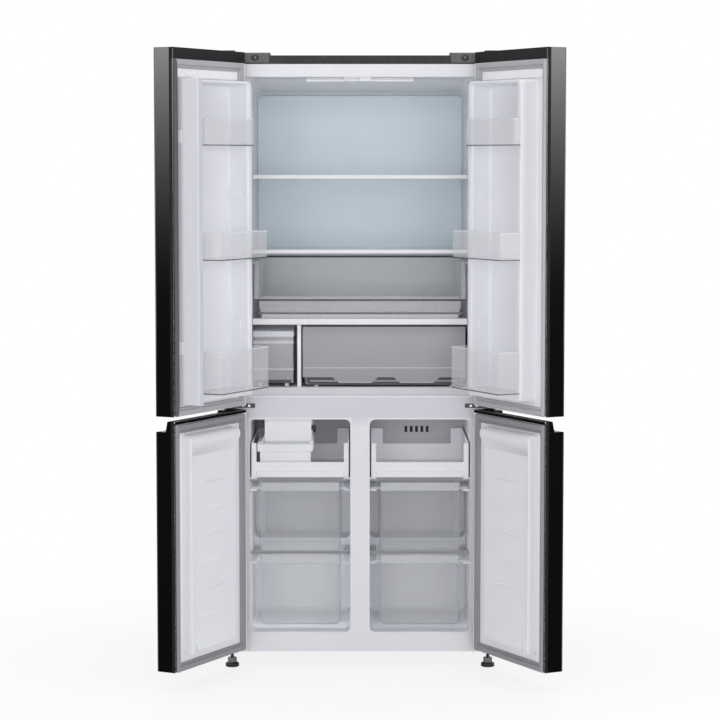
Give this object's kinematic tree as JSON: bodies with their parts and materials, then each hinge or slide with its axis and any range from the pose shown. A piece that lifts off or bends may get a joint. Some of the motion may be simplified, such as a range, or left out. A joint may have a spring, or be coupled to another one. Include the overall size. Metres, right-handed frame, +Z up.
{
  "type": "multi-door refrigerator",
  "caption": "Refrigerator with a wide fridge above and a split freezer below, swinging doors, a folding centre flap, shelves, bins, trays and sliding drawers.",
  "frame": {"origin": "on the floor, under the middle of the whole with its doors open as pictured", "axes": "+Z up, +Y from the doors to the back, +X to the right of someone facing the doors"},
  "size_m": [1.131, 1.0416, 1.7935],
  "materials": {
    "case_grey": "satin",
    "front_white": "satin",
    "back_steel": "satin",
    "foam": "matte",
    "liner_white": "satin",
    "trim_white": "satin",
    "cover_grey": "matte",
    "lamp_lens": "gloss",
    "shelf_glass": "gloss",
    "hinge_steel": "satin",
    "cap_grey": "matte",
    "evaporator_metal": "satin",
    "black_plastic": "matte",
    "compressor_black": "satin",
    "clear_grey": "gloss",
    "clear_plastic": "gloss",
    "drawer_grey": "satin",
    "door_glass": "gloss",
    "gasket_grey": "matte"
  },
  "bodies": {
    "cabinet": {"outer_case": "case_grey", "front_frame": "front_white", "back_panel": "back_steel", "base_pan": "back_steel", "machine_base": "back_steel", "machine_cover": "back_steel", "cabinet_foam": "foam", "fridge_liner": "liner_white", "freezer_liner": "liner_white", "duct_covers": "cover_grey", "flap_guide": "liner_white", "ceiling_lamp": "lamp_lens", "shelf_glass": "shelf_glass", "shelf_trims": "trim_white", "drawer_partition": "trim_white", "ice_maker": "trim_white", "hinge_brackets": "hinge_steel", "hinge_covers": "cap_grey", "hinge_screws": "hinge_steel", "evaporator": "evaporator_metal", "fan_motors": "black_plastic", "compressor": "compressor_black", "condenser_coil": "compressor_black"},
    "upper_left_door": {"upper_left_door_front_panel": "door_glass", "upper_left_door_trims_and_caps": "cap_grey", "upper_left_door_foam": "foam", "upper_left_door_liner": "liner_white", "upper_left_door_gasket": "gasket_grey", "upper_left_door_bins": "clear_plastic"},
    "upper_right_door": {"upper_right_door_front_panel": "door_glass", "upper_right_door_trims_and_caps": "cap_grey", "upper_right_door_foam": "foam", "upper_right_door_liner": "liner_white", "upper_right_door_gasket": "gasket_grey", "upper_right_door_bins": "clear_plastic"},
    "lower_left_door": {"lower_left_door_front_panel": "door_glass", "lower_left_door_trims_and_caps": "cap_grey", "lower_left_door_foam": "foam", "lower_left_door_liner": "liner_white", "lower_left_door_gasket": "gasket_grey"},
    "lower_right_door": {"lower_right_door_front_panel": "door_glass", "lower_right_door_trims_and_caps": "cap_grey", "lower_right_door_foam": "foam", "lower_right_door_liner": "liner_white", "lower_right_door_gasket": "gasket_grey"},
    "centre_flap": {"centre_flap": "trim_white"},
    "upper_crisper": {"upper_crisper": "clear_grey"},
    "lower_drawer": {"lower_drawer": "drawer_grey"},
    "water_tank": {"water_tank": "clear_grey"},
    "left_top_tray": {"left_top_tray": "trim_white"},
    "right_top_tray": {"right_top_tray": "trim_white"},
    "upper_left_freezer_drawer": {"upper_left_freezer_drawer": "clear_plastic"},
    "upper_right_freezer_drawer": {"upper_right_freezer_drawer": "clear_plastic"},
    "lower_left_freezer_drawer": {"lower_left_freezer_drawer": "clear_plastic"},
    "lower_right_freezer_drawer": {"lower_right_freezer_drawer": "clear_plastic"},
    "left_front_foot": {"left_front_foot": "black_plastic"},
    "right_front_foot": {"right_front_foot": "black_plastic"},
    "rear_rollers": {"rear_rollers": "black_plastic"},
    "evaporator_fan": {"evaporator_fan": "black_plastic"},
    "condenser_fan": {"condenser_fan": "black_plastic"}
  },
  "joints": [
    {"name": "upper_left_door_swing", "type": "hinge", "parent": "cabinet", "child": "upper_left_door", "pos_m": [-0.3747, -0.15487, 0.78], "axis": [0, 0, -1], "range_deg": [-117.3, 17.7]},
    {"name": "upper_right_door_swing", "type": "hinge", "parent": "cabinet", "child": "upper_right_door", "pos_m": [0.3747, -0.15487, 0.78], "axis": [0, 0, 1], "range_deg": [-117.3, 17.7]},
    {"name": "lower_left_door_swing", "type": "hinge", "parent": "cabinet", "child": "lower_left_door", "pos_m": [-0.3747, -0.15487, 0.07], "axis": [0, 0, -1], "range_deg": [-117.3, 17.7]},
    {"name": "lower_right_door_swing", "type": "hinge", "parent": "cabinet", "child": "lower_right_door", "pos_m": [0.3747, -0.15487, 0.07], "axis": [0, 0, 1], "range_deg": [-117.3, 17.7]},
    {"name": "centre_flap_fold", "type": "hinge", "parent": "upper_left_door", "child": "centre_flap", "pos_m": [-0.48787, -0.49111, 1.255], "axis": [0, 0, -1], "range_deg": [0, 90]},
    {"name": "upper_crisper_slide", "type": "slide", "parent": "cabinet", "child": "upper_crisper", "axis": [0, -1, 0], "range_m": [0, 0.22]},
    {"name": "lower_drawer_slide", "type": "slide", "parent": "cabinet", "child": "lower_drawer", "axis": [0, -1, 0], "range_m": [0, 0.22]},
    {"name": "water_tank_slide", "type": "slide", "parent": "cabinet", "child": "water_tank", "axis": [0, -1, 0], "range_m": [0, 0.22]},
    {"name": "left_top_tray_slide", "type": "slide", "parent": "cabinet", "child": "left_top_tray", "axis": [0, -1, 0], "range_m": [0, 0.3]},
    {"name": "right_top_tray_slide", "type": "slide", "parent": "cabinet", "child": "right_top_tray", "axis": [0, -1, 0], "range_m": [0, 0.3]},
    {"name": "upper_left_freezer_drawer_slide", "type": "slide", "parent": "cabinet", "child": "upper_left_freezer_drawer", "axis": [0, -1, 0], "range_m": [0, 0.3]},
    {"name": "upper_right_freezer_drawer_slide", "type": "slide", "parent": "cabinet", "child": "upper_right_freezer_drawer", "axis": [0, -1, 0], "range_m": [0, 0.3]},
    {"name": "lower_left_freezer_drawer_slide", "type": "slide", "parent": "cabinet", "child": "lower_left_freezer_drawer", "axis": [0, -1, 0], "range_m": [0, 0.22]},
    {"name": "lower_right_freezer_drawer_slide", "type": "slide", "parent": "cabinet", "child": "lower_right_freezer_drawer", "axis": [0, -1, 0], "range_m": [0, 0.22]},
    {"name": "left_front_foot_turn", "type": "hinge", "parent": "cabinet", "child": "left_front_foot", "pos_m": [-0.3747, -0.12222, 0.02], "axis": [0, 0, 1], "continuous": true},
    {"name": "right_front_foot_turn", "type": "hinge", "parent": "cabinet", "child": "right_front_foot", "pos_m": [0.3747, -0.12222, 0.02], "axis": [0, 0, 1], "continuous": true},
    {"name": "rear_rollers_spin", "type": "hinge", "parent": "cabinet", "child": "rear_rollers", "pos_m": [0, 0.46078, 0.02], "axis": [1, 0, 0], "continuous": true},
    {"name": "evaporator_fan_spin", "type": "hinge", "parent": "cabinet", "child": "evaporator_fan", "pos_m": [0, 0.40978, 0.66], "axis": [0, 1, 0], "continuous": true},
    {"name": "condenser_fan_spin", "type": "hinge", "parent": "cabinet", "child": "condenser_fan", "pos_m": [-0.019, 0.40778, 0.135], "axis": [1, 0, 0], "continuous": true}
  ]
}
